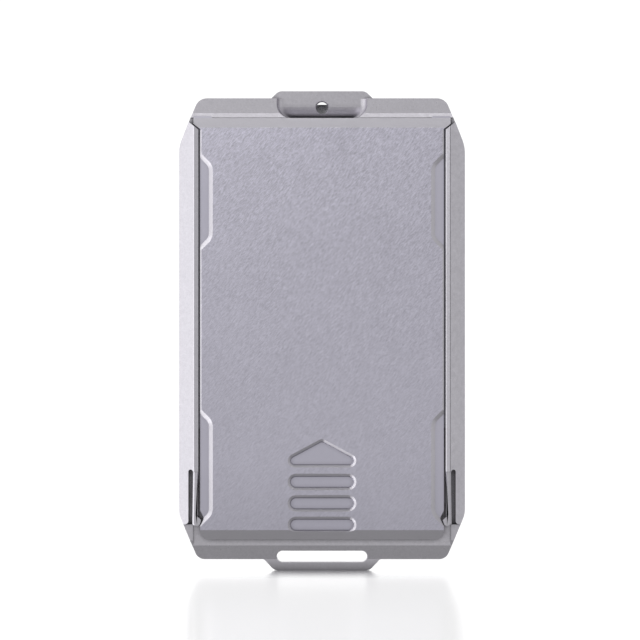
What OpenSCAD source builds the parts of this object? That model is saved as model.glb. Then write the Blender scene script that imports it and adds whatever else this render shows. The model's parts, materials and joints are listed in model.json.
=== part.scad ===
// Slim metal card wallet: a screwed sandwich of frame, back plate and two rails,
// with a grooved cover that slides up, two sprung latch noses, a leaf spring
// behind the cards and a money clip on the back.
//
// X is the width, Z the length, and the front face looks along -Y.
// Depths are measured backwards from the front face of the cover.

/* [Body] */
// Width of the body over both rails
body_w = 63; // [62.6:0.1:64]
// Height of the frame's top edge above the bottom of the strap loop
body_top = 104.3; // [104:0.1:105]
// Height of the frame's bottom edge, which is how far the strap loop hangs below it
body_bottom = 2.5; // [2.3:0.1:2.8]
// Depth of the frame's back face
frame_back = 8.7; // [8.5:0.1:11]
// Thickness of the back plate
plate_t = 1.5; // [1.4:0.1:2]
// Width of the card bay
bay_w = 54.6; // [54.4:0.1:54.8]
// Length of the card bay
bay_h = 87; // [86.6:0.1:87.2]

/* [Cover] */
// Width of the cover's raised panel
cover_w = 53.6; // [53.4:0.1:53.8]
// Thickness of the cover
cover_t = 2.5; // [2.4:0.1:2.5]
// Depth of the flange that runs in the rails
flange_d = 1.3; // [1.3:0.1:1.4]
// Depth of the edge pockets
pocket_d = 0.55; // [0.4:0.05:0.9]
// How far the cover slides up
cover_travel = 58; // [30:1:60]
// Depth of the thumb grip recesses
grip_depth = 0.7; // [0.5:0.1:0.9]

/* [Rails] */
// Thickness of the lip that holds the cover down
lip_t = 1.2; // [1:0.1:1.2]
// Number of screws in each rail
rail_screws = 4; // [2:1:5]
// Width of the slot behind each latch arm
slot_w = 1; // [0.9:0.1:1.1]
// Length of each latch arm
arm_l = 12; // [10:0.5:14]

/* [Openings] */
// Radius of the lanyard hole
lanyard_r = 1.35; // [1:0.05:1.5]
// Width of the strap slot
strap_w = 20; // [16:1:20]
// Height of the strap slot
strap_h = 2.6; // [2:0.1:2.6]
// Width of the scoop in front of the lanyard hole
scoop_w = 20; // [17:0.5:20]
// Radius of the scoop's lower corners
scoop_r = 3.2; // [3:0.1:3.4]

/* [Money clip] */
// Thickness of the clip's spring strip
clip_t = 0.8; // [0.6:0.1:0.9]
// Width of the clip at its foot
clip_w = 17; // [14:0.5:20]
// How far the clip bows away from the back plate
clip_bow = 1.8; // [1.2:0.1:2]

/* [Hidden] */
$fn = 48;
arc_steps = 8;
eps = 0.01;

// Levels, as depths behind the front face
rim_d = 2.0;
deck_d = cover_t + 0.1;
band_d = 3.4;
facet_d = 4.7;
rail_seat = 5.0;
back_d = frame_back + plate_t;
total_depth = back_d + clip_bow + clip_t;
front_y = -total_depth / 2;

// Half widths
side_x = body_w / 2;
bay_x = bay_w / 2;
cover_x = cover_w / 2;
flange_x = cover_x + 1.4;
channel_x = flange_x + 0.25;
rail_x = channel_x + 0.05;
lip_x = cover_x + 0.42;
lip_slant = 0.15;
lip_chamfer_w = 0.2;
lip_chamfer_d = 0.13;
crest_x = lip_x + 0.93;
crest_step = 0.16;
edge_chamfer_w = 0.32;
edge_chamfer_d = 0.17;

// Heights
bay_z = 9.4;
cover_bottom = 7.0;
band_bottom = 100;
band_top = 100.95;
cover_top = 99.8;
cover_ear_top = 100.25;
ear_x = 24.1;
ear_end = flange_x + 0.12;
facet_foot = 5.6;
shoulder_z = 97.2;
shoulder_rise = 0.81;
shoulder_gap = 0.4;
rail_bottom = 10.3;
rail_foot_r = 0.8;
flange_bottom = 31.5;

// Latch
arm_root = rail_bottom + arm_l + 0.1;
arm_gap = 0.06;
arm_out = crest_x + 0.37;
arm_lean = 0.17;
arm_taper = 0.43;
slot_out = arm_out + slot_w - 0.1;
arm_bevel_in = 0.15;
arm_bevel_out = 0.34;
arm_bevel_d = [0.03, 0.28];
nose_tip = 26.48;
nose_z = [10.05, 11.35, 12.4];
notch_z = 11.7;
notch_depth = 0.75;

// Fasteners
screw_x = 29.8;
screw_first = 27;
screw_last = 87;
screw_r = 0.6;
screw_clear = 0.07;
screw_head_r = 1.05;
screw_head_t = 0.6;
screw_tip = 2.4;
pin_r = 0.75;
pin_x = 20;
pin_z = 98.2;
pin_top = 1.85;
groove_half = 0.95;
groove_floor = 1.7;

// Openings
lanyard_z = 102.3;
lanyard_chamfer = 0.35;
lanyard_chamfer_front = 0.2;
tab_h = 1.65;
strap_z = 3.1;
scoop_floor_d = 6.6;
scoop_wall_r = 1.6;
scoop_bottom = 99.8;
scoop_drop = 1.6;
loop_front = 4.2;
loop_back = 7.4;

// Leaf spring behind the cards
leaf_t = 0.3;
leaf_w = 14;
strap_half = 6;
leaf_z = 53;
leaf_l = 28;
leaf_rise = 1.15;
leaf_curl = 2.5;
leaf_gap = 0.06;
rivet_r = 0.6;
rivet_x = 4.5;
rivet_head_r = 1.3;
rivet_head_t = 0.5;

// Money clip, as heights along the back
clip_foot = 20;
clip_bend = 34;
clip_crown = 42;
clip_touch = 94;
clip_tip = 103.2;
clip_tip_w = 14;
clip_flare = 1.5;
clip_gap = 0.06;
clip_lift = 0.05;
clip_screw_z = [24, 30];
clip_screw_r = 0.98;
clip_head_r = 1.8;
clip_head_t = 0.6;

// ---------------------------------------------------------------- helpers

function unit(v) = v / norm(v);

function turn_of(a) = a > 180 ? a - 360 : a < -180 ? a + 360 : a;

// The arc of radius r that rounds the corner q between its neighbours p and s
function corner_arc(p, q, s, r) =
    r == 0 ? [q] :
    let (
        u = unit(p - q),
        v = unit(s - q),
        half = acos(u * v) / 2,
        centre = q + unit(u + v) * r / sin(half),
        first = q + u * r / tan(half) - centre,
        last = q + v * r / tan(half) - centre,
        start = atan2(first[1], first[0]),
        turn = turn_of(atan2(last[1], last[0]) - start)
    )
    [for (i = [0:arc_steps])
        centre + r * [cos(start + turn * i / arc_steps), sin(start + turn * i / arc_steps)]];

// A closed outline with each corner rounded; corners are [x, z, radius]
function rounded(corners) =
    let (n = len(corners), at = [for (c = corners) [c[0], c[1]]])
    [for (i = [0:n - 1])
        each corner_arc(at[(i + n - 1) % n], at[i], at[(i + 1) % n], corners[i][2])];

// The right half of a symmetric outline, listed upwards, and its mirror image
function both_halves(right) =
    concat(right, [for (i = [len(right) - 1:-1:0]) [-right[i][0], right[i][1], right[i][2]]]);

// Cuts an outline in X and Z to a plate between two depths
module plate(front, back) {
    translate([0, front_y + front, 0])
        rotate([90, 0, 0])
            mirror([0, 0, 1])
                linear_extrude(back - front)
                    children();
}

// Draws a profile of depth and height across the whole width
module across(width) {
    translate([0, front_y, 0])
        rotate([90, 0, 90])
            linear_extrude(width, center = true)
                children();
}

// A round bar or hole that runs front to back; a cone where the radii differ
module round_along_y(x, z, front, back, r_front, r_back) {
    translate([x, front_y + front, z])
        rotate([-90, 0, 0])
            cylinder(h = back - front, r1 = r_front, r2 = r_back);
}

// A closed solid through a stack of rings that have the same number of points
module loft(rings) {
    n = len(rings[0]);
    last = len(rings) - 1;
    walls = [for (k = [0:last - 1], i = [0:n - 1])
        let (j = (i + 1) % n, low = k * n, high = low + n)
        each [[low + i, low + j, high + j], [low + i, high + j, high + i]]];
    polyhedron(
        [for (ring = rings) each ring],
        concat([[for (i = [n - 1:-1:0]) i]], walls, [[for (i = [0:n - 1]) last * n + i]])
    );
}

// A recess or raised pad whose outline changes from its front to its back
module tapered(outer, inner, front, back) {
    loft([
        [for (p = outer) [p[0], front_y + front, p[1]]],
        [for (p = inner) [p[0], front_y + back, p[1]]],
    ]);
}

// Mirrors a right-hand piece to the left
module on_side(side) {
    mirror([side < 0 ? 1 : 0, 0, 0])
        children();
}

// ---------------------------------------------------------------- outlines

body_corners = [
    [27.35, body_bottom, 2.2], [side_x, 12.6, 6],
    [side_x, 93.6, 8], [27.2, body_top, 2.6],
];
loop_corners = [[10.5, 0, 2], [12.8, body_bottom, 0.8]];
tab_corners = [[11.3, body_top, 0.8], [9.6, body_top + tab_h, 1.8]];

module body_outline() {
    polygon(rounded(both_halves(body_corners)));
}

module frame_outline() {
    polygon(rounded(both_halves(concat(loop_corners, body_corners))));
}

module tab_outline() {
    polygon(rounded(both_halves(concat([[12, body_top - 4, 0]], tab_corners))));
}

module plate_outline() {
    polygon(rounded(both_halves(concat(body_corners, tab_corners))));
}

module bay_outline() {
    polygon(rounded(both_halves([[bay_x, bay_z, 2.2], [bay_x, bay_z + bay_h, 2.2]])));
}

module strap_slot() {
    end_r = strap_h / 2;
    for (side = [-1, 1])
        translate([side * (strap_w / 2 - end_r), strap_z])
            circle(r = end_r);
    translate([0, strap_z])
        square([strap_w - strap_h, strap_h], center = true);
}

// Where a rail ends at the top, as a height over the half width
function rail_end(x) = shoulder_z + (x - lip_x) * shoulder_rise;

// ---------------------------------------------------------------- frame

// The frame seen from the side; its front edges are milled to this shape
module frame_profile() {
    polygon([
        [loop_front, 0],
        [loop_front, body_bottom],
        [deck_d, facet_foot],
        [rim_d, facet_foot + (deck_d - rim_d) * (facet_foot - body_bottom) / (loop_front - deck_d)],
        [rim_d, band_bottom - 0.45],
        [deck_d, band_bottom],
        [band_d, band_top],
        [facet_d, body_top],
        [frame_back, body_top],
        [frame_back, body_bottom + 0.4],
        [loop_back, body_bottom - 0.9],
        [loop_back, 0],
    ]);
}

// One level of the scoop, a U with round corners between its walls and its floor
function scoop_level(half_w, floor_d, z) =
    let (flat = half_w - scoop_wall_r, arc_d = floor_d - scoop_wall_r)
    [for (p = concat(
        [[-half_w, -1]],
        [for (a = [180:-10:90]) [scoop_wall_r * cos(a) - flat, scoop_wall_r * sin(a) + arc_d]],
        [for (a = [90:-10:0]) [scoop_wall_r * cos(a) + flat, scoop_wall_r * sin(a) + arc_d]],
        [[half_w, -1]]
    )) [p[0], front_y + p[1], z]];

// The scoop narrows and grows deeper towards its bottom
module scoop() {
    half_w = scoop_w / 2;
    corner_z = scoop_bottom + scoop_r;
    loft(concat(
        [for (a = [90:-10:0])
            scoop_level(half_w - scoop_r * (1 - cos(a)), scoop_floor_d + scoop_drop * pow(sin(a), 2),
                        corner_z - scoop_r * sin(a))],
        [scoop_level(half_w, scoop_floor_d, body_top + 5)]
    ));
}

module rail_rabbet(side) {
    on_side(side)
        plate(0, rail_seat)
            polygon([
                [channel_x, rail_bottom - 0.05],
                [side_x + 1, rail_bottom - 0.05],
                [side_x + 1, rail_end(side_x + 1) + 0.06],
                [channel_x, rail_end(channel_x) + 0.06],
            ]);
}

module frame() {
    color("silver")
        difference() {
            union() {
                intersection() {
                    plate(0, frame_back) frame_outline();
                    across(body_w + 2) frame_profile();
                }
                plate(scoop_floor_d, frame_back) tab_outline();
            }
            plate(0, deck_d)
                translate([-channel_x, -1])
                    square([2 * channel_x, body_top + 2]);
            scoop();
            lanyard_hole(scoop_floor_d - 2);
            round_along_y(0, lanyard_z, scoop_floor_d - eps, scoop_floor_d + lanyard_chamfer_front,
                          lanyard_r + lanyard_chamfer_front, lanyard_r);
            plate(0, frame_back + 1) bay_outline();
            plate(0, frame_back + 1) strap_slot();
            for (side = [-1, 1]) {
                rail_rabbet(side);
                for (z = screw_heights())
                    round_along_y(side * screw_x, z, rail_seat - 1, frame_back + 1,
                                  screw_r + screw_clear, screw_r + screw_clear);
                round_along_y(side * pin_x, pin_z, deck_d - 1, frame_back + 1,
                              pin_r + eps, pin_r + eps);
            }
        }
}

module lanyard_hole(front) {
    round_along_y(0, lanyard_z, front, back_d + 1, lanyard_r, lanyard_r);
}

function screw_heights() =
    [for (i = [0:rail_screws - 1])
        screw_first + i * (screw_last - screw_first) / (rail_screws - 1)];

// ---------------------------------------------------------------- back plate

module back_plate() {
    edge = 0.6;
    color("silver")
        difference() {
            union() {
                plate(frame_back, back_d - edge) plate_outline();
                back_edge_bevel(edge);
            }
            plate(frame_back - 1, back_d + 1) strap_slot();
            lanyard_hole(frame_back - 1);
            round_along_y(0, lanyard_z, back_d - lanyard_chamfer, back_d + eps,
                          lanyard_r, lanyard_r + lanyard_chamfer);
            for (side = [-1, 1], z = screw_heights()) {
                round_along_y(side * screw_x, z, frame_back - 1, back_d + 1,
                              screw_r + screw_clear, screw_r + screw_clear);
                round_along_y(side * screw_x, z, back_d - screw_head_t, back_d,
                              screw_r + screw_clear, screw_head_r + screw_clear);
            }
            for (z = clip_screw_z)
                round_along_y(0, z, frame_back - 1, back_d + 1,
                              clip_screw_r + 0.02, clip_screw_r + 0.02);
            for (side = [-1, 1])
                round_along_y(side * rivet_x, leaf_z, frame_back - 1, back_d + 1,
                              rivet_r + eps, rivet_r + eps);
        }
}

// The chamfer round the back plate's outer edge
module back_edge_bevel(edge) {
    outer = rounded(both_halves(concat(body_corners, tab_corners)));
    inner = rounded(both_halves(concat(
        [[27.35 - edge, body_bottom + edge, 1.6], [side_x - edge, 12.8, 6]],
        [[side_x - edge, 93.4, 8], [27.2 - edge, body_top - edge, 2]],
        [[11.3 - edge, body_top - edge, 0.8], [9.6 - edge, body_top + tab_h - edge, 1.4]]
    )));
    tapered(outer, inner, back_d - edge - eps, back_d);
}

// ---------------------------------------------------------------- rails

module rail_section() {
    polygon([
        [crest_x, 0],
        [crest_x + crest_step * 0.8, crest_step],
        [side_x, rim_d],
        [side_x, rail_seat],
        [rail_x, rail_seat],
        [rail_x, lip_t],
        [lip_x, lip_t],
        [lip_x, lip_slant + lip_chamfer_d],
        [lip_x + lip_chamfer_w, lip_slant],
    ]);
}

module rail_plan() {
    intersection() {
        body_outline();
        union() {
            polygon([
                [slot_out, rail_bottom + rail_foot_r],
                [side_x, rail_bottom + rail_foot_r],
                [side_x, rail_end(side_x)],
                [lip_x, rail_end(lip_x)],
                [lip_x, arm_root - slot_w],
                [slot_out, arm_root - slot_w],
            ]);
            translate([slot_out + rail_foot_r, rail_bottom])
                square([side_x - slot_out, 2 * rail_foot_r]);
            translate([slot_out + rail_foot_r, rail_bottom + rail_foot_r])
                circle(r = rail_foot_r);
        }
    }
}

module rail(side) {
    color("lightgray")
        on_side(side)
            difference() {
                intersection() {
                    translate([0, front_y, rail_bottom])
                        linear_extrude(body_top)
                            rail_section();
                    plate(0, rail_seat) rail_plan();
                }
                latch_slot();
                for (z = screw_heights())
                    round_along_y(screw_x, z, screw_tip - 0.2, rail_seat + 1,
                                  screw_r + 0.02, screw_r + 0.02);
            }
}

// Frees the latch arm from the rail
module latch_slot() {
    end_r = slot_w / 2;
    plate(-1, rail_seat + 1) {
        translate([slot_out - end_r, arm_root - end_r])
            circle(r = end_r);
        translate([slot_out - slot_w, rail_bottom - 1])
            square([slot_w, arm_root - end_r - rail_bottom + 1]);
        translate([lip_x - 1, rail_bottom - 1])
            square([arm_out - lip_x + 1, arm_root - end_r - rail_bottom + 1]);
    }
}

// The arm with the nose at its free end; the front ring is set in from each edge
function latch_arm_level(inner, outer, depth) =
    let (root = arm_root - slot_w / 2 - arm_gap)
    [for (p = rounded([
        [arm_out - outer, nose_z[0], 0.6],
        [arm_out - arm_lean - outer, root, 0],
        [lip_x + inner, root, 0],
        [lip_x + arm_taper + inner, nose_z[2], 0.3],
        [nose_tip + inner, nose_z[1], 0.4],
        [nose_tip + inner + 0.3, nose_z[0], 0.7],
    ])) [p[0], front_y + depth, p[1]]];

module latch_arm(side) {
    color("lightgray")
        on_side(side)
            loft([
                latch_arm_level(arm_bevel_in, arm_bevel_out, arm_bevel_d[0]),
                latch_arm_level(0, 0, arm_bevel_d[1]),
                latch_arm_level(0, 0, lip_t),
            ]);
}

// ---------------------------------------------------------------- cover

module cover_outline() {
    polygon(rounded(both_halves([
        [cover_x, cover_bottom, 2],
        [cover_x, notch_z - 1.7, 0],
        [cover_x - notch_depth, notch_z - 0.2, 0],
        [cover_x - notch_depth, notch_z + 0.2, 0],
        [cover_x, notch_z + 1.7, 0],
        [cover_x, shoulder_z + shoulder_gap - 0.24, 0],
        [ear_end, rail_end(ear_end) + shoulder_gap, 0],
        [ear_end, cover_ear_top, 0.3],
        [ear_x + 0.35, cover_ear_top, 0],
        [ear_x, cover_top, 0],
    ])));
}

module cover_profile() {
    polygon([
        [0, 9.1],
        [0, 97.6],
        [flange_d, cover_top],
        [flange_d + 0.3, cover_top + 1],
        [cover_t, cover_top + 1],
        [cover_t, cover_bottom - 1],
        [flange_d + 0.2, cover_bottom - 1],
        [flange_d, cover_bottom],
    ]);
}

// A pocket in the panel's edge that shows the flange below; its three walls slope
module edge_pocket(side, low, high) {
    slope = 0.9;
    wall_x = 24.0;
    open_x = cover_x + 3;
    function outline(inset, corner_r) =
        let (
            end_shift = (open_x - cover_x) - inset * sqrt(2),
            corner_shift = (cover_x - wall_x) + inset * (sqrt(2) - 1)
        )
        rounded([
            [open_x, low - end_shift, 0],
            [open_x, high + end_shift, 0],
            [wall_x + inset, high - corner_shift, corner_r],
            [wall_x + inset, low + corner_shift, corner_r],
        ]);
    on_side(side)
        tapered(outline(0, 3), outline(slope, 2), -eps, pocket_d);
}

// Breaks the long front edge of the panel
module panel_edge(side) {
    on_side(side)
        translate([0, front_y, notch_z])
            linear_extrude(shoulder_z - notch_z)
                polygon([
                    [cover_x - edge_chamfer_w, -eps],
                    [cover_x + 1, -eps],
                    [cover_x + 1, edge_chamfer_d],
                    [cover_x, edge_chamfer_d],
                ]);
}

// A ring of points round circles of one radius at the given centres, listed anticlockwise
function ring(centres, radii) =
    let (n = len(centres), steps = 10)
    [for (i = [0:n - 1])
        let (
            p = centres[(i + n - 1) % n],
            q = centres[i],
            s = centres[(i + 1) % n],
            a0 = atan2(q[1] - p[1], q[0] - p[0]) - 90,
            turn = (atan2(s[1] - q[1], s[0] - q[0]) - 90 - a0 + 720) % 360
        )
        for (k = [0:steps])
            q + radii[i] * [cos(a0 + turn * k / steps), sin(a0 + turn * k / steps)]];

// A recess with a shallow rim and a steeper foot
module grip_recess(centres, radii) {
    rim_inset = 0.5;
    foot_inset = 0.72;
    rings = [[0, -eps], [rim_inset, grip_depth * 0.55], [foot_inset, grip_depth]];
    loft([for (r = rings) [
        for (p = ring(centres, [for (radius = radii) radius - r[0]])) [p[0], front_y + r[1], p[1]]
    ]]);
}

module grip() {
    bar_x = 5.75;
    bar_r = 1.83;
    first_bar = 10.25;
    bar_pitch = 4.72;
    for (i = [0:2])
        grip_recess([[-bar_x, first_bar + i * bar_pitch], [bar_x, first_bar + i * bar_pitch]],
                    [bar_r, bar_r]);
    arrow_r = 1.5;
    grip_recess([[-6.05, 24.35], [6.05, 24.35], [0, 27.6]], [arrow_r, arrow_r, arrow_r]);
}

// A blind groove under the cover that a stop pin runs in
module stop_groove() {
    low = pin_z - cover_travel - pin_r - 0.1 + groove_half;
    high = pin_z + pin_r + 0.05 - groove_half;
    plate(groove_floor, cover_t + 1) {
        for (z = [low, high])
            translate([0, z])
                circle(r = groove_half);
        translate([-groove_half, low])
            square([2 * groove_half, high - low]);
    }
}

module slide_cover() {
    color("gainsboro")
        difference() {
            union() {
                intersection() {
                    plate(0, cover_t) cover_outline();
                    across(body_w) cover_profile();
                }
                plate(flange_d, cover_t)
                    translate([-flange_x, flange_bottom])
                        square([2 * flange_x, shoulder_z + 1 - flange_bottom]);
            }
            for (side = [-1, 1]) {
                edge_pocket(side, 9.8, 35.9);
                edge_pocket(side, 70.4, 92.2);
                panel_edge(side);
                translate([side * pin_x, 0, 0])
                    stop_groove();
            }
            grip();
        }
}

// ---------------------------------------------------------------- fasteners

// A flat-head screw whose head faces back
module flat_screw(x, z, tip, head, shank_r, head_r, head_t, socket_r) {
    difference() {
        union() {
            round_along_y(x, z, tip, head, shank_r, shank_r);
            round_along_y(x, z, head - head_t, head, shank_r, head_r);
        }
        translate([x, front_y + head - 0.45, z])
            rotate([-90, 0, 0])
                cylinder(h = 1, r = socket_r, $fn = 6);
    }
}

module rail_screw_set(side) {
    color("dimgray")
        for (z = screw_heights())
            flat_screw(side * screw_x, z, screw_tip, back_d, screw_r, screw_head_r,
                       screw_head_t, 0.42);
}

module stop_pin(side) {
    color("dimgray")
        round_along_y(side * pin_x, pin_z, pin_top, frame_back, pin_r, pin_r);
}

// ---------------------------------------------------------------- leaf spring

module leaf_spring_strap() {
    color("slategray")
        difference() {
            plate(frame_back - leaf_t, frame_back)
                translate([-leaf_w / 2, leaf_z - strap_half])
                    square([leaf_w, 2 * strap_half]);
            for (side = [-1, 1])
                round_along_y(side * rivet_x, leaf_z, frame_back - 1, frame_back + 1,
                              rivet_r + eps, rivet_r + eps);
        }
}

// One leaf rises towards the cards and curls back at its tip
module leaf(direction) {
    root = strap_half + leaf_gap;
    line = [
        [frame_back - leaf_t - 0.01, root],
        [frame_back - leaf_t - leaf_rise, root + leaf_l - leaf_curl],
        [frame_back - leaf_t - leaf_rise + 0.35, root + leaf_l],
    ];
    color("slategray")
        translate([0, 0, leaf_z])
            mirror([0, 0, direction < 0 ? 1 : 0])
                intersection() {
                    across(leaf_w)
                        polygon(concat(line, [for (i = [2:-1:0]) line[i] + [leaf_t, 0]]));
                    plate(0, frame_back)
                        polygon(rounded(both_halves([
                            [leaf_w / 2, root, 0], [leaf_w / 2 - 1, root + leaf_l, 2],
                        ])));
                }
}

module leaf_spring_rivets() {
    color("dimgray")
        for (side = [-1, 1]) {
            round_along_y(side * rivet_x, leaf_z, frame_back - leaf_t, back_d, rivet_r, rivet_r);
            round_along_y(side * rivet_x, leaf_z, frame_back - leaf_t - rivet_head_t,
                          frame_back - leaf_t, rivet_head_r - 0.5, rivet_head_r);
        }
}

// ---------------------------------------------------------------- money clip

module clip_outline() {
    polygon(rounded(both_halves([
        [clip_w / 2, clip_foot, 2.5], [clip_w / 2, clip_crown, 20],
        [clip_tip_w / 2, clip_tip, 3],
    ])));
}

// The strip's inner line from foot to tip, as depth and height
function clip_line() = [
    [back_d + clip_lift, clip_bend + clip_gap],
    [back_d + clip_bow * 0.75, clip_bend + 3.5],
    [back_d + clip_bow, clip_crown],
    [back_d + clip_lift + 0.1, clip_touch - 1],
    [back_d + clip_lift + 0.1, clip_touch + 1],
    [back_d + clip_flare, clip_tip],
];

module money_clip_foot() {
    color("slategray")
        difference() {
            intersection() {
                plate(back_d, back_d + clip_t) clip_outline();
                translate([-clip_w, -50, 0])
                    cube([2 * clip_w, 100, clip_bend]);
            }
            for (z = clip_screw_z) {
                round_along_y(0, z, back_d - 1, back_d + clip_t + 1,
                              clip_screw_r + 0.05, clip_screw_r + 0.05);
                round_along_y(0, z, back_d + clip_t - clip_head_t, back_d + clip_t,
                              clip_screw_r + 0.05, clip_head_r + 0.05);
            }
        }
}

module money_clip_blade() {
    line = clip_line();
    last = len(line) - 1;
    color("slategray")
        intersection() {
            across(clip_w)
                polygon(concat(line, [for (i = [last:-1:0]) line[i] + [clip_t, 0]]));
            plate(back_d, total_depth + 1) clip_outline();
        }
}

module money_clip_screws() {
    color("dimgray")
        for (z = clip_screw_z)
            flat_screw(0, z, frame_back + 0.1, back_d + clip_t, clip_screw_r, clip_head_r,
                       clip_head_t, 0.7);
}

// ---------------------------------------------------------------- nodes

frame();
back_plate();
rail(-1);  // left_rail
rail(1);  // right_rail
latch_arm(-1);  // left_latch_arm
latch_arm(1);  // right_latch_arm
slide_cover();
rail_screw_set(-1);  // left_rail_screws
rail_screw_set(1);  // right_rail_screws
stop_pin(-1);  // left_stop_pin
stop_pin(1);  // right_stop_pin
leaf_spring_strap();
leaf(1);  // leaf_spring_upper
leaf(-1);  // leaf_spring_lower
leaf_spring_rivets();
money_clip_foot();
money_clip_blade();
money_clip_screws();
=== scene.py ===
import json
import math

import bpy
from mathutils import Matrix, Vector


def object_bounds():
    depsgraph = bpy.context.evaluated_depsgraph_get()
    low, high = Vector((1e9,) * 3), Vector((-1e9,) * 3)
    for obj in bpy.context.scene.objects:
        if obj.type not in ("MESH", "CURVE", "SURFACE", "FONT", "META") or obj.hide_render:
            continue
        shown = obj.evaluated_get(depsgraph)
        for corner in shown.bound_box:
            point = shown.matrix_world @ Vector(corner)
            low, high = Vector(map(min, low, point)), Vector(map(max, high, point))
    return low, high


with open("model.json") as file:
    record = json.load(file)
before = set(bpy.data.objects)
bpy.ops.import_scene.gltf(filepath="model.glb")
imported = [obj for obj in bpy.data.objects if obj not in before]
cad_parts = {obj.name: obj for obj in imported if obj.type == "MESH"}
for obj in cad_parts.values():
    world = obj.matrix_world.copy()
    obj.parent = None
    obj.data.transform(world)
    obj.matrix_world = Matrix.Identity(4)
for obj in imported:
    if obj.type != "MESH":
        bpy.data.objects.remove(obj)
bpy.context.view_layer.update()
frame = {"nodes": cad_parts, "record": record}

MM = 0.001
LOW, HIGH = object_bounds()
HEIGHT = HIGH.z - LOW.z

scene = bpy.context.scene

# ------------------------------------------------------------------ shader helpers

# Between these two values lies nearly all of a noise texture
NOISE_LOW = 0.3
NOISE_HIGH = 0.7


class Nodes:
    """Adds shader nodes to one node tree and links them by socket."""

    def __init__(self, tree):
        self.tree = tree

    def add(self, kind, inputs=None, **settings):
        node = self.tree.nodes.new(kind)
        for name, value in settings.items():
            setattr(node, name, value)
        for name, value in (inputs or {}).items():
            self.put(value, node.inputs[name])
        return node

    def put(self, value, socket):
        if isinstance(value, bpy.types.NodeSocket):
            self.tree.links.new(value, socket)
        else:
            socket.default_value = value

    def place(self, size=(1, 1, 1), turn=(0, 0, 0)):
        """Object coordinates, turned, in cells of the given size in millimetres."""
        mapping = self.add("ShaderNodeMapping", {
            "Vector": self.add("ShaderNodeTexCoord").outputs["Object"],
            "Rotation": [math.radians(angle) for angle in turn],
            "Scale": [side * MM for side in size],
        }, vector_type="TEXTURE")
        return mapping.outputs["Vector"]

    def parts(self, space):
        """The x, y and z sockets of the surface's Object place or Normal."""
        vector = self.add("ShaderNodeTexCoord").outputs[space]
        return self.add("ShaderNodeSeparateXYZ", {0: vector}).outputs

    def noise(self, vector, scale, detail=3, roughness=0.55):
        node = self.add("ShaderNodeTexNoise", {
            "Vector": vector, "Scale": scale, "Detail": detail, "Roughness": roughness,
        })
        return node.outputs["Fac"]

    def spread(self, value, low, high, to_low, to_high, **settings):
        """Maps low..high to to_low..to_high and clamps it."""
        node = self.add("ShaderNodeMapRange", {
            "Value": value, "From Min": low, "From Max": high,
            "To Min": to_low, "To Max": to_high,
        }, **settings)
        return node.outputs["Result"]

    def varied(self, noise, depth):
        """A noise as a change of plus or minus depth."""
        return self.spread(noise, NOISE_LOW, NOISE_HIGH, -depth, depth)

    def math(self, operation, a, b):
        return self.add("ShaderNodeMath", {0: a, 1: b}, operation=operation).outputs[0]

    def total(self, *values):
        value = values[0]
        for other in values[1:]:
            value = self.math("ADD", value, other)
        return value

    def for_camera(self, seen, other, output):
        """The camera sees one shader; the light and the metal's mirror images use the other."""
        ray = self.add("ShaderNodeLightPath").outputs["Is Camera Ray"]
        mix = self.add("ShaderNodeMixShader", {0: ray, 1: other, 2: seen})
        self.put(mix.outputs[0], self.tree.nodes[output].inputs["Surface"])


def new_material(name):
    material = bpy.data.materials.new(name)
    material.use_nodes = True
    return material, Nodes(material.node_tree)


# ------------------------------------------------------------------ finishes

SATIN = (0.585, 0.57, 0.615)

# Noise scales, as cells in a millimetre
BLOTCHES_SCALE = 0.06
MOTTLE_SCALE = 1.1
PITS_SCALE = 3.2

BLOTCHES_DEPTH = 0.02
MOTTLE_ROUGHNESS = 0.05
PITS_ROUGHNESS = 0.04
BUMP_HEIGHT = 0.03 * MM
BUMP_STRENGTH = 0.6

# Sizes of the brush strokes' cells in millimetres, and turns from their lean in degrees
STROKE_SIZE = (0.19, 1, 0.95)
FINE_STROKE_SIZE = (0.12, 1, 0.55)
FINE_STROKE_TURN = 12
CROSS_STROKE_SIZE = (0.3, 1, 2.6)
CROSS_STROKE_TURN = -95
# Only the peaks of the crossing strokes' noise show, and less deep than the others
CROSS_STROKE_PEAKS = (0.58, 0.75)
CROSS_STROKE_SHARE = 0.6
STROKES_TO_GRAIN = 2.0
# On a face, the strokes grow between these heights and end this far behind its depth
STROKE_HEIGHTS = (0.2 * HEIGHT, 0.9 * HEIGHT)
STROKE_STRENGTHS = (0.55, 1.25)
FACE_FADE = 0.03 * MM

# How open the darkest crevices are, and the painted shade they get
CREVICE_OPEN = 0.09
CREVICE_SHADE = 0.03
# The part of the foot's height up to which the painted shade makes the metal darkest
FOOT_DARK = 0.4
# The Normal's y on the flat fronts and on the slopes beside them
FRONT_NORMAL = -0.98
SLOPE_NORMAL = -0.92


def brush_strokes(nodes, place, depth, lean, face):
    """Short leaning strokes with a few that cross them."""
    def layer(size, turn, detail, **settings):
        cells = nodes.place(size, (0, lean + turn, 0))
        return nodes.noise(cells, 1.0, detail, **settings)

    crossing = layer(CROSS_STROKE_SIZE, CROSS_STROKE_TURN, detail=2)
    strokes = nodes.total(
        nodes.varied(layer(STROKE_SIZE, 0, detail=2, roughness=0.5), depth),
        nodes.varied(layer(FINE_STROKE_SIZE, FINE_STROKE_TURN, detail=1), depth),
        nodes.spread(crossing, *CROSS_STROKE_PEAKS, 0.0, depth * CROSS_STROKE_SHARE),
    )
    if face is not None:
        on_face = nodes.spread(place["Y"], face, face + FACE_FADE, 1.0, 0.0)
        upwards = nodes.spread(place["Z"], *STROKE_HEIGHTS, *STROKE_STRENGTHS)
        strokes = nodes.math("MULTIPLY", nodes.math("MULTIPLY", strokes, on_face), upwards)
    return strokes


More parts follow.
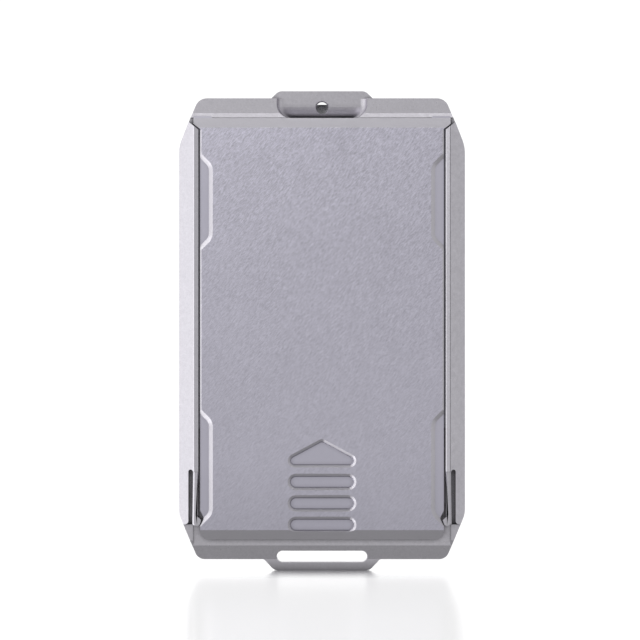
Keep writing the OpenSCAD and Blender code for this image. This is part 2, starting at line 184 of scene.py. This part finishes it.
def painted_shade(nodes, place, reach, unshaded_ao, foot):
    """Painted shade: 1 on open metal, and less in crevices and below the foot's height."""
    # Painted shade: the colour darkens where ambient occlusion finds a crevice
    crevice = nodes.add("ShaderNodeAmbientOcclusion", {"Distance": reach * MM}, samples=8)
    value = nodes.spread(crevice.outputs["AO"], CREVICE_OPEN, unshaded_ao, CREVICE_SHADE, 1.0)
    if foot is not None:
        # Painted shade: the colour darkens towards the bottom, below the foot's height
        height, shade = foot
        painted_foot_shade = nodes.spread(place["Z"], FOOT_DARK * height, height, shade, 1.0)
        value = nodes.math("MULTIPLY", value, painted_foot_shade)
    return value


def satin_on_slopes(nodes, tint):
    """The tint on flat fronts, and the plain satin tint on the slopes beside them."""
    slope = nodes.spread(nodes.parts("Normal")["Y"], FRONT_NORMAL, SLOPE_NORMAL, 0.0, 1.0)
    # Inputs 4 and 5 of a Mix node are its two vectors, and output 1 is their blend
    blend = nodes.add("ShaderNodeMix", {0: slope}, data_type="VECTOR")
    nodes.put(tint, blend.inputs[4])
    nodes.put(SATIN, blend.inputs[5])
    return blend.outputs[1]


def metal(name, tint, roughness, mottle_depth, grain, strokes=0.0, lean=32, face=None,
          reach=1.3, unshaded_ao=0.62, foot=None):
    """Satin metal with a blasted grain, soft blotches and painted shade in its crevices.

    strokes is the depth of short brush strokes and lean their angle. With face, a
    depth in metres, the strokes lie only on the flat front before that depth and
    grow stronger upwards, and slopes keep the plain satin tint. reach is how far
    the painted crevice shade reaches, in millimetres, and unshaded_ao how open a place
    is once no painted shade falls on it. foot is the height in metres below which
    painted shade darkens the metal, and its darkest shade.
    """
    material, nodes = new_material(name)
    shader = nodes.tree.nodes["Principled BSDF"]
    here = nodes.place()
    place = nodes.parts("Object")
    blotches = nodes.noise(here, BLOTCHES_SCALE, detail=3)
    mottle = nodes.noise(here, MOTTLE_SCALE, detail=4, roughness=0.7)
    pits = nodes.noise(here, PITS_SCALE, detail=2, roughness=0.6)
    shade = nodes.total(nodes.varied(blotches, BLOTCHES_DEPTH), nodes.varied(mottle, mottle_depth),
                        nodes.varied(pits, mottle_depth))
    height = nodes.math("MULTIPLY", pits, grain)
    if strokes:
        brushed = brush_strokes(nodes, place, strokes, lean, face)
        shade = nodes.total(shade, brushed)
        height = nodes.total(height, nodes.math("MULTIPLY", brushed, STROKES_TO_GRAIN))
    # The tone carries the painted shade of the crevices and the foot
    tone_and_painted_shade = nodes.math("MULTIPLY", nodes.total(shade, 1.0),
                        painted_shade(nodes, place, reach, unshaded_ao, foot))
    if face is not None:
        tint = satin_on_slopes(nodes, tint)
    colour = nodes.add("ShaderNodeVectorMath", {0: tint, "Scale": tone_and_painted_shade}, operation="SCALE")
    rough = nodes.total(
        nodes.spread(mottle, NOISE_LOW, NOISE_HIGH,
                     roughness + MOTTLE_ROUGHNESS, roughness - MOTTLE_ROUGHNESS),
        nodes.varied(pits, PITS_ROUGHNESS),
    )
    bump = nodes.add("ShaderNodeBump", {
        "Height": height, "Distance": BUMP_HEIGHT, "Strength": BUMP_STRENGTH})
    nodes.put(colour.outputs[0], shader.inputs["Base Color"])
    nodes.put(rough, shader.inputs["Roughness"])
    nodes.put(1.0, shader.inputs["Metallic"])
    nodes.put(bump.outputs["Normal"], shader.inputs["Normal"])
    return material


# Every finish gets painted shade in its crevices
aluminium = metal("satin_aluminium", SATIN, 0.34, 0.05, 0.6)
# The frame gets painted shade near the floor, below 2.6 mm
frame_finish = metal("frame_aluminium", (0.565, 0.55, 0.592), 0.34, 0.05, 0.6,
                     reach=1.6, unshaded_ao=0.86, foot=(2.6 * MM, 0.66))
# The cover gets painted shade that darkens it towards its bottom, below 24 mm
cover_finish = metal("cover_aluminium", (0.585, 0.57, 0.66), 0.36, 0.012, 0.3,
                     strokes=0.12, lean=38, face=LOW.y + 0.04 * MM,
                     reach=1.0, unshaded_ao=0.98, foot=(24 * MM, 0.9))
spring_steel = metal("spring_steel", (0.27, 0.27, 0.28), 0.28, 0.05, 0.5, strokes=0.05, lean=0)
black_steel = metal("black_oxide", (0.06, 0.06, 0.065), 0.4, 0.1, 0.8)

FINISHES = {
    "frame_metal": frame_finish,
    "back_metal": aluminium,
    "rail_metal": aluminium,
    "cover_metal": cover_finish,
    "screw_steel": black_steel,
    "pin_steel": spring_steel,
    "spring_steel": spring_steel,
    "clip_steel": spring_steel,
}

for entry in frame["record"]["subparts"]:
    piece = frame["nodes"][entry["node"]]
    piece.data.materials.clear()
    piece.data.materials.append(FINISHES[entry["material_slot"]])

# ------------------------------------------------------------------ edges

# Widths of the broken edges in millimetres; the edges of the other pieces stay sharp
EDGES = {
    "frame": 0.08, "slide_cover": 0.045, "left_rail": 0.045, "right_rail": 0.045,
    "left_latch_arm": 0.045, "right_latch_arm": 0.045, "back_plate": 0.09,
    "money_clip_foot": 0.12, "money_clip_blade": 0.12,
}
# The angles, in degrees, up to which facets merge, edges stay unbroken and shading is smooth
FLAT_ANGLE = 0.5
EDGE_ANGLE = 15
SMOOTH_ANGLE = 38


def smooth_by_angle(limit):
    """A geometry node group that shades smooth across edges up to the limit."""
    group = bpy.data.node_groups.new("smooth_by_angle", "GeometryNodeTree")
    for in_out in ("INPUT", "OUTPUT"):
        group.interface.new_socket("Geometry", in_out=in_out, socket_type="NodeSocketGeometry")
    source = group.nodes.new("NodeGroupInput")
    result = group.nodes.new("NodeGroupOutput")
    angle = group.nodes.new("GeometryNodeInputMeshEdgeAngle")
    compare = group.nodes.new("FunctionNodeCompare")
    compare.operation = "LESS_EQUAL"
    compare.inputs[1].default_value = math.radians(limit)
    faces = group.nodes.new("GeometryNodeSetShadeSmooth")
    edges = group.nodes.new("GeometryNodeSetShadeSmooth")
    edges.domain = "EDGE"
    link = group.links.new
    link(angle.outputs["Unsigned Angle"], compare.inputs[0])
    link(source.outputs[0], faces.inputs["Geometry"])
    link(faces.outputs[0], edges.inputs["Geometry"])
    link(compare.outputs[0], edges.inputs["Shade Smooth"])
    link(edges.outputs[0], result.inputs[0])
    return group


smooth_group = smooth_by_angle(SMOOTH_ANGLE)


def soften(piece, width):
    """Merges flat facets, breaks the sharp edges as tumbling does, and shades smooth."""
    flat = piece.modifiers.new("flat", "DECIMATE")
    flat.decimate_type = "DISSOLVE"
    flat.angle_limit = math.radians(FLAT_ANGLE)
    if width:
        edge = piece.modifiers.new("edge", "BEVEL")
        edge.width = width
        edge.segments = 2
        edge.limit_method = "ANGLE"
        edge.angle_limit = math.radians(EDGE_ANGLE)
    smooth = piece.modifiers.new("smooth", "NODES")
    smooth.node_group = smooth_group
    normals = piece.modifiers.new("normals", "WEIGHTED_NORMAL")
    normals.keep_sharp = True


for name, piece in frame["nodes"].items():
    soften(piece, EDGES.get(name, 0) * MM)

# ------------------------------------------------------------------ camera

# The camera stands far off, level with the middle of the view, so lines stay parallel
CAMERA_FAR = 1.0
VIEW_HEIGHT = 140.75 * MM
SIDE_STEP = 0.44 * MM
LOOK_HEIGHT = 55.31 * MM

camera_data = bpy.data.cameras.new("camera")
camera_data.sensor_width = 36
camera_data.lens = camera_data.sensor_width * CAMERA_FAR / VIEW_HEIGHT
camera = bpy.data.objects.new("camera", camera_data)
camera.location = (-SIDE_STEP, LOW.y - CAMERA_FAR, LOOK_HEIGHT)
camera.rotation_euler = (math.radians(90), 0, 0)
scene.collection.objects.link(camera)
scene.camera = camera
scene.view_settings.view_transform = "Standard"

# ------------------------------------------------------------------ floor

FLOOR = 3.0
FLOOR_WHITE = 0.95
FLOOR_GLOW = 0.32
SHEEN_ROUGHNESS = 0.14
# The sheen is strongest around the wallet's foot and fades between these distances in
# millimetres; a place beside the wallet counts as nearer than one before it
SHEEN_WIDTH = 1.3
SHEEN_DISTANCES = (8, 34)
SHEEN_SHARES = (0.9, 0.28)

floor_data = bpy.data.meshes.new("floor")
floor_data.from_pydata(
    [(-FLOOR, -FLOOR, 0), (FLOOR, -FLOOR, 0), (FLOOR, FLOOR, 0), (-FLOOR, FLOOR, 0)],
    [], [(0, 1, 2, 3)])
floor = bpy.data.objects.new("floor", floor_data)
scene.collection.objects.link(floor)

floor_material, surface = new_material("floor")
white = surface.add("ShaderNodeBsdfDiffuse", {"Color": (FLOOR_WHITE, FLOOR_WHITE, FLOOR_WHITE, 1)})
glow = surface.add("ShaderNodeEmission", {"Strength": FLOOR_GLOW})
pale = surface.add("ShaderNodeAddShader", {0: white.outputs[0], 1: glow.outputs[0]})
gloss = surface.add("ShaderNodeBsdfAnisotropic", {
    "Color": (1, 1, 1, 1), "Roughness": SHEEN_ROUGHNESS})
away = surface.add("ShaderNodeVectorMath", {
    0: surface.place(size=(SHEEN_WIDTH, 1, 1))}, operation="LENGTH").outputs["Value"]
sheen = surface.add("ShaderNodeMixShader", {
    0: surface.spread(away, *SHEEN_DISTANCES, *SHEEN_SHARES),
    1: pale.outputs[0], 2: gloss.outputs[0]})
clear = surface.add("ShaderNodeBsdfTransparent")
surface.for_camera(sheen.outputs[0], clear.outputs[0], "Material Output")
floor_data.materials.append(floor_material)

# ------------------------------------------------------------------ light

SKY_LEVEL = 0.62
SKY_DARKEST = 0.05
BACKDROP = 1.1

# The studio by direction, on top of an even light. Each lobe has its axis, the dot
# product where it starts, the one where it is full, and its strength
LOBES = {
    "tall panel on the left": ((-1, 0, 0), 0.35, 0.84, 1.0),
    "its end behind the wallet": ((-0.87, 0.5, 0), 0.55, 0.95, 0.9),
    "shade behind on the right": ((0.88, 0.47, 0), 0.55, 0.95, -0.8),
    "faint panel on the right": ((0.9, -0.4, 0), 0.75, 0.95, 0.22),
    "shade overhead": ((0, -0.17, 0.985), 0.94, 0.99, -0.9),
    "shade overhead and behind": ((0, 0.4, 0.92), 0.8, 0.97, -0.8),
    "back wall": ((0, 1, 0.1), 0.4, 0.95, 0.9),
    "table": ((0, 0, -1), 0.1, 0.8, -0.42),
    "soft patch up on the left": ((-0.65, -0.4, 0.65), 0.84, 0.97, 1.1),
    "soft patch low on the left": ((-0.68, -0.36, -0.64), 0.86, 0.97, 1.6),
}

world = bpy.data.worlds.new("studio")
world.use_nodes = True
scene.world = world
sky = Nodes(world.node_tree)
direction = sky.add("ShaderNodeTexCoord").outputs["Generated"]
light = 1.0
for axis, start, full, strength in LOBES.values():
    near = sky.add("ShaderNodeVectorMath", {
        0: direction, 1: Vector(axis).normalized()}, operation="DOT_PRODUCT")
    lobe = sky.spread(near.outputs["Value"], start, full, 0.0, strength,
                      interpolation_type="SMOOTHSTEP")
    light = sky.total(light, lobe)
studio = sky.tree.nodes["Background"]
sky.put((1, 1, 1, 1), studio.inputs["Color"])
sky.put(sky.math("MULTIPLY", sky.math("MAXIMUM", light, SKY_DARKEST), SKY_LEVEL),
        studio.inputs["Strength"])
backdrop = sky.add("ShaderNodeBackground", {"Color": (1, 1, 1, 1), "Strength": BACKDROP})
sky.for_camera(backdrop.outputs[0], studio.outputs[0], "World Output")


def panel(name, size, place, aim, power):
    """A soft rectangular light that faces a point."""
    data = bpy.data.lights.new(name, "AREA")
    data.shape = "RECTANGLE"
    data.size, data.size_y = size
    data.energy = power
    lamp = bpy.data.objects.new(name, data)
    lamp.location = place
    lamp.rotation_euler = (Vector(aim) - Vector(place)).to_track_quat("-Z", "Y").to_euler()
    scene.collection.objects.link(lamp)


# The key stands before the wallet's upper left; the strip hangs above the open cover
# and whitens the band along the frame's top edge
panel("key", (0.12, 0.12), (-0.12, LOW.y - 0.28, 0.20), (-0.012, LOW.y, 0.075), 0.075)
panel("top_strip", (0.16, 0.03), (0, LOW.y - 0.013, 0.190), (0, LOW.y + 0.003, 0.1005), 0.023)
